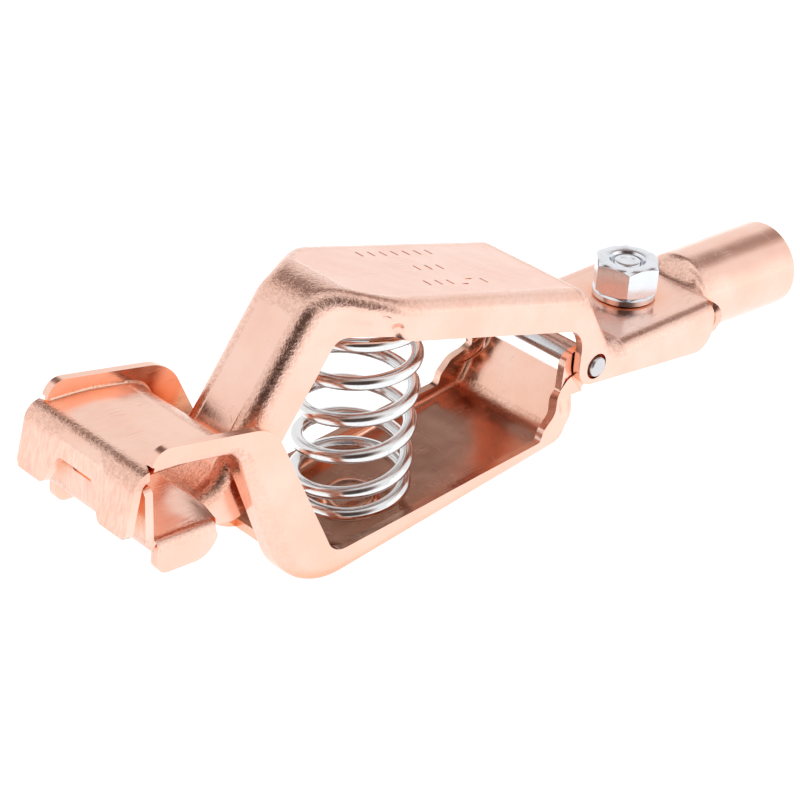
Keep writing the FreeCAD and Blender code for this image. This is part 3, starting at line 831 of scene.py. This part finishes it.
def scratches(n, direction, scale, width, seed):
    """Thin, broken lines: the ridge of a stretched noise, masked so that each line soon ends."""
    lines = n.noise(n.coordinates(*direction), scale, 1.0, 0.4, seed * 0.1)
    ridge = n.remap(n.maths("ABSOLUTE", n.maths("SUBTRACT", lines, 0.5), 0.0), 0.0, width, 1.0, 0.0)
    patches = n.remap(n.noise(n.coordinates(1, 1, 1), 160 + 37 * seed, 2.0), 0.52, 0.66, 0.0, 1.0)
    return n.maths("MULTIPLY", ridge, patches)


# painted reflected light: a deep orange painted into the copper where it is enclosed, for copper lit by
# copper
BOUNCE_LIGHT_TONE = (0.88, 0.30, 0.10)      # copper lit by copper, in corners and channels
# painted shade for the upward-facing inner belly of the lower lever, below the pivot
BELLY_SHADE_TONE = (0.36, 0.19, 0.13)
DRAWN_TONE = (0.62, 0.36, 0.28)
WORN_TONE = (0.50, 0.26, 0.18)


def copper(name, deep, bright, painted_shade_below=None):
    """Bright stamped copper: faint rolling grain, scuffs, drawing marks down the end walls, a coarse
    orange peel at its bends, and painted bounce light, deeper orange, in corners and channels.
    Faces that look up from below the given height, in metres, get a painted shade of duller brown."""
    n = Nodes(name)
    even = n.coordinates(1, 1, 1)
    rolled = n.coordinates(0.12, 1, 1)
    bend = n.node("ShaderNodeAttribute", attribute_name="bend").outputs["Fac"]
    clouds = n.noise(even, 95, 3.0)
    fine = n.noise(even, 2600, 4.0, 0.65)
    peel = n.noise(even, 1500, 3.0, 0.7)
    streaks = n.noise(rolled, 1500, 2.0)
    marks = n.maths("MAXIMUM", scratches(n, (0.08, 1.0, 0.5), 900, 0.012, 1),
                    scratches(n, (0.7, 0.12, 0.9), 700, 0.010, 2))

    tone = n.mix(n.remap(clouds, 0.35, 0.65, 0.0, 1.0), deep, bright)
    worn = n.maths("MULTIPLY", bend, n.remap(peel, 0.40, 0.60, 0.35, 0.0))
    # painted bounce light: an occlusion mask paints corners and channels a deeper orange
    open_air = n.node("ShaderNodeAmbientOcclusion", samples=6, distance=0.010).outputs["AO"]
    painted_bounce = n.remap(open_air, 0.20, 0.80, 1.0, 0.0)
    tone = n.mix(painted_bounce, tone, BOUNCE_LIGHT_TONE)
    # painted shade: faces looking up from below the height are painted a duller brown for the dark they
    # reflect
    if painted_shade_below is not None:
        source = n.node("ShaderNodeTexCoord")
        facing = n.node("ShaderNodeSeparateXYZ", vector=source.outputs["Normal"]).outputs["Z"]
        height = n.node("ShaderNodeSeparateXYZ", vector=source.outputs["Object"]).outputs["Z"]
        low = n.remap(height, painted_shade_below - 0.004, painted_shade_below, 0.75, 0.0)
        painted_belly_shade = n.maths("MULTIPLY", n.remap(facing, 0.6, 0.9, 0.0, 1.0), low)
        tone = n.mix(painted_belly_shade, tone, BELLY_SHADE_TONE)
    normal = n.node("ShaderNodeTexCoord").outputs["Normal"]
    endwise = n.node("ShaderNodeSeparateXYZ", vector=normal).outputs["X"]
    across = n.remap(n.maths("ABSOLUTE", endwise, 0.0), 0.85, 0.97, 0.0, 1.0)
    drawn = n.noise(n.coordinates(1, 1, 0.06), 2200, 3.0, 0.6)
    drawn_marks = n.maths("MULTIPLY", across, n.remap(drawn, 0.40, 0.66, 0.10, 0.50))
    tone = n.mix(drawn_marks, tone, DRAWN_TONE)
    n.link(n.mix(worn, tone, WORN_TONE), n.shader.inputs["Base Color"])
    n.shader.inputs["Metallic"].default_value = 1.0

    rough = n.remap(streaks, 0.3, 0.7, 0.15, 0.22)
    rough = n.maths("ADD", rough, n.remap(clouds, 0.4, 0.75, 0.0, 0.05))
    rough = n.maths("ADD", rough, n.maths("MULTIPLY", marks, 0.15))
    rough = n.maths("ADD", rough, n.maths("MULTIPLY", bend, n.remap(peel, 0.4, 0.6, 0.0, 0.05)))
    n.link(rough, n.shader.inputs["Roughness"])

    relief = n.bump(fine, 0.10, 0.00003)
    relief = n.bump(streaks, 0.08, 0.00004, relief)
    relief = n.bump(n.maths("SUBTRACT", 0.0, marks), 0.35, 0.00003, relief)
    relief = n.bump(n.maths("MULTIPLY", peel, bend), 0.80, 0.00016, relief)
    n.link(relief, n.shader.inputs["Normal"])
    return n.material


def steel(name, colour, smooth_rough, worn_rough, stretch, tint=(0.62, 0.60, 0.56)):
    """Zinc-plated steel: cloudy plating, fine drawing or tool marks along one direction."""
    n = Nodes(name)
    even = n.coordinates(1, 1, 1)
    drawn = n.coordinates(*stretch)
    clouds = n.noise(even, 420, 3.0)
    lines = n.noise(drawn, 2200, 2.0)
    specks = n.remap(n.noise(even, 1700, 3.0), 0.60, 0.72, 0.0, 1.0)
    n.link(n.mix(n.maths("MULTIPLY", specks, 0.5), colour, tint), n.shader.inputs["Base Color"])
    n.shader.inputs["Metallic"].default_value = 1.0
    rough = n.remap(clouds, 0.35, 0.65, smooth_rough, worn_rough)
    rough = n.maths("ADD", rough, n.remap(lines, 0.4, 0.7, 0.0, 0.05))
    n.link(rough, n.shader.inputs["Roughness"])
    relief = n.bump(lines, 0.05, 0.00002)
    relief = n.bump(clouds, 0.06, 0.00005, relief)
    n.link(relief, n.shader.inputs["Normal"])
    return n.material


# ---- studio --------------------------------------------------------------------------------------

VIEW_FROM = Vector((-0.61863332, -0.60792485, 0.49771497)).normalized()
AIM = to_row(-34.6, 0, -0.8)
DISTANCE = 0.378
ROLL = math.radians(4.05)
LENS, SENSOR = 100.73, 36.0


def add_camera():
    """Long lens from the front, the near side and above, turned a little about its own axis."""
    data = bpy.data.cameras.new("camera")
    data.lens, data.sensor_width = LENS, SENSOR
    data.clip_start, data.clip_end = 0.01, 20
    camera = bpy.data.objects.new("camera", data)
    camera.rotation_mode = "QUATERNION"
    camera.location = AIM + VIEW_FROM * DISTANCE
    camera.rotation_quaternion = VIEW_FROM.to_track_quat("Z", "Y") @ Quaternion((0, 0, 1), ROLL)
    bpy.context.scene.collection.objects.link(camera)
    bpy.context.scene.camera = camera


FLOOR_TONE = (0.12, 0.12, 0.12, 1)
WARM_SHADE, NEUTRAL = (1.0, 0.66, 0.55, 1), (1.0, 0.99, 0.98, 1)
BACKDROP_LIGHT = 1.1


def glow(name, strength):
    """A surface that is mostly its own light, so that shadows on it stay faint."""
    material = bpy.data.materials.new(name)
    material.use_nodes = True
    shader = material.node_tree.nodes["Principled BSDF"]
    shader.inputs["Base Color"].default_value = FLOOR_TONE
    shader.inputs["Roughness"].default_value = 0.9
    shader.inputs["Emission Color"].default_value = (1, 1, 1, 1)
    shader.inputs["Emission Strength"].default_value = strength
    return material


def add_floor(strength):
    bpy.ops.mesh.primitive_plane_add(size=6, location=(PIVOT.x, 0, cad_box[0].z - 0.0005))
    floor = bpy.context.active_object
    floor.name = "floor"
    floor.data.materials.append(glow("floor_white", strength))


def add_world():
    """A white tent with a dark opening on the camera's side and warm grey cards above and behind.
    The camera itself sees a plain white backdrop."""
    world = bpy.data.worlds.new("tent")
    bpy.context.scene.world = world
    world.use_nodes = True
    tree = world.node_tree
    direction = tree.nodes.new("ShaderNodeTexCoord").outputs["Generated"]
    level = None
    for centre, inner, outer, shade in DARK_CARDS:
        facing = tree.nodes.new("ShaderNodeVectorMath")
        facing.operation = "DOT_PRODUCT"
        tree.links.new(direction, facing.inputs[0])
        facing.inputs[1].default_value = Vector(centre).normalized()
        edge = tree.nodes.new("ShaderNodeMapRange")
        edge.interpolation_type = "SMOOTHSTEP"
        tree.links.new(facing.outputs["Value"], edge.inputs["Value"])
        edge.inputs["From Min"].default_value = math.cos(math.radians(outer))
        edge.inputs["From Max"].default_value = math.cos(math.radians(inner))
        edge.inputs["To Min"].default_value = 1.0
        edge.inputs["To Max"].default_value = shade
        if level is None:
            level = edge.outputs["Result"]
            continue
        both = tree.nodes.new("ShaderNodeMath")
        both.operation = "MULTIPLY"
        tree.links.new(level, both.inputs[0])
        tree.links.new(edge.outputs["Result"], both.inputs[1])
        level = both.outputs[0]
    strength = tree.nodes.new("ShaderNodeMath")
    strength.operation = "MULTIPLY"
    strength.inputs[1].default_value = TENT_LIGHT
    tree.links.new(level, strength.inputs[0])
    lit = tree.nodes["Background"]
    tree.links.new(strength.outputs[0], lit.inputs["Strength"])
    warmth = tree.nodes.new("ShaderNodeMix")
    warmth.data_type = "RGBA"
    warmth.inputs[6].default_value = WARM_SHADE
    warmth.inputs[7].default_value = NEUTRAL
    tree.links.new(level, warmth.inputs["Factor"])
    tree.links.new(warmth.outputs[2], lit.inputs["Color"])
    backdrop = tree.nodes.new("ShaderNodeBackground")
    backdrop.inputs["Color"].default_value = (1, 1, 1, 1)
    backdrop.inputs["Strength"].default_value = BACKDROP_LIGHT
    seen = tree.nodes.new("ShaderNodeLightPath").outputs["Is Camera Ray"]
    choose = tree.nodes.new("ShaderNodeMixShader")
    tree.links.new(seen, choose.inputs[0])
    tree.links.new(lit.outputs[0], choose.inputs[1])
    tree.links.new(backdrop.outputs[0], choose.inputs[2])
    tree.links.new(choose.outputs[0], tree.nodes["World Output"].inputs["Surface"])


def add_softbox(name, towards, distance, size, power):
    """A square lamp that many metres from the aim point, in that direction, shining back at it."""
    data = bpy.data.lights.new(name, "AREA")
    data.size = size
    data.energy = power
    lamp = bpy.data.objects.new(name, data)
    back = Vector(towards).normalized()
    lamp.location = AIM + back * distance
    lamp.rotation_mode = "QUATERNION"
    lamp.rotation_quaternion = back.to_track_quat("Z", "Y")
    bpy.context.scene.collection.objects.link(lamp)


TENT_LIGHT = 1.0
FLOOR_LIGHT = 1.12
# direction, degrees to where a card is darkest, degrees to its soft edge, brightness there
DARK_CARDS = [
    ((-0.62, -0.61, 0.50), 22, 48, 0.07),
    ((0.20, 0.55, 0.80), 8, 28, 0.16),
    ((0.56, 0.12, 0.82), 10, 30, 0.30),
]

add_camera()
add_floor(FLOOR_LIGHT)
add_world()
add_softbox("near_softbox", (0.6, -0.75, 0.25), 0.9, 0.5, 0.25)
add_softbox("top_softbox", (0.2, 0.1, 1.0), 0.9, 0.5, 0.2)
bpy.context.scene.view_settings.view_transform = "Standard"

upper_copper = copper("upper_copper", (0.93, 0.59, 0.48), (0.96, 0.66, 0.56))
# the pivot's height bounds the painted belly shade
lower_copper = copper("lower_copper", (0.93, 0.58, 0.46), (0.96, 0.65, 0.54), PIVOT.z)
spring_steel = steel("spring_steel", (0.80, 0.81, 0.82), 0.12, 0.20, (1, 1, 0.2))
fastener_steel = steel("fastener_steel", (0.80, 0.83, 0.88), 0.14, 0.24, (1, 1, 0.15))
pin_steel = steel("pin_steel", (0.64, 0.64, 0.66), 0.24, 0.36, (0.3, 1, 0.3))

upper = finish_sheet("upper_lever_sheet", upper_lever_sheet(), upper_copper,
                     [bore_tool(0, 0, PIN_RADIUS + 0.3, "Y"), bore_tool(BOLT_X, 0, 3.4, "Z"),
                      stamped_marks()], DENTS)
place(upper, UPPER, "upper_copper", "upper_lever")
lower = finish_sheet("lower_lever_sheet", lower_lever_sheet(), lower_copper,
                     [bore_tool(0, 0, PIN_RADIUS + 0.12, "Y")])
place(lower, LOWER, "lower_copper", "lower_lever")

place(pivot_pin(pin_steel), UPPER, "pin_steel", "pivot_pin")
place(terminal_bolt(fastener_steel), UPPER, "fastener_steel", "terminal_bolt")
place(lock_washer(fastener_steel), UPPER, "fastener_steel", "lock_washer")
place(terminal_nut(fastener_steel), UPPER, "fastener_steel", "terminal_nut")

low_seat = seat("lower_spring_seat", lower_copper, -16.3, 1, math.radians(-6.4))
place(low_seat, LOWER, "lower_copper")
high_seat = seat("upper_spring_seat", upper_copper, 25.1, -1, math.radians(15))
place(high_seat, UPPER, "upper_copper")

spring = spring_mesh(spring_steel)
place(spring, UPPER, "spring_steel", "spring")
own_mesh(spring)
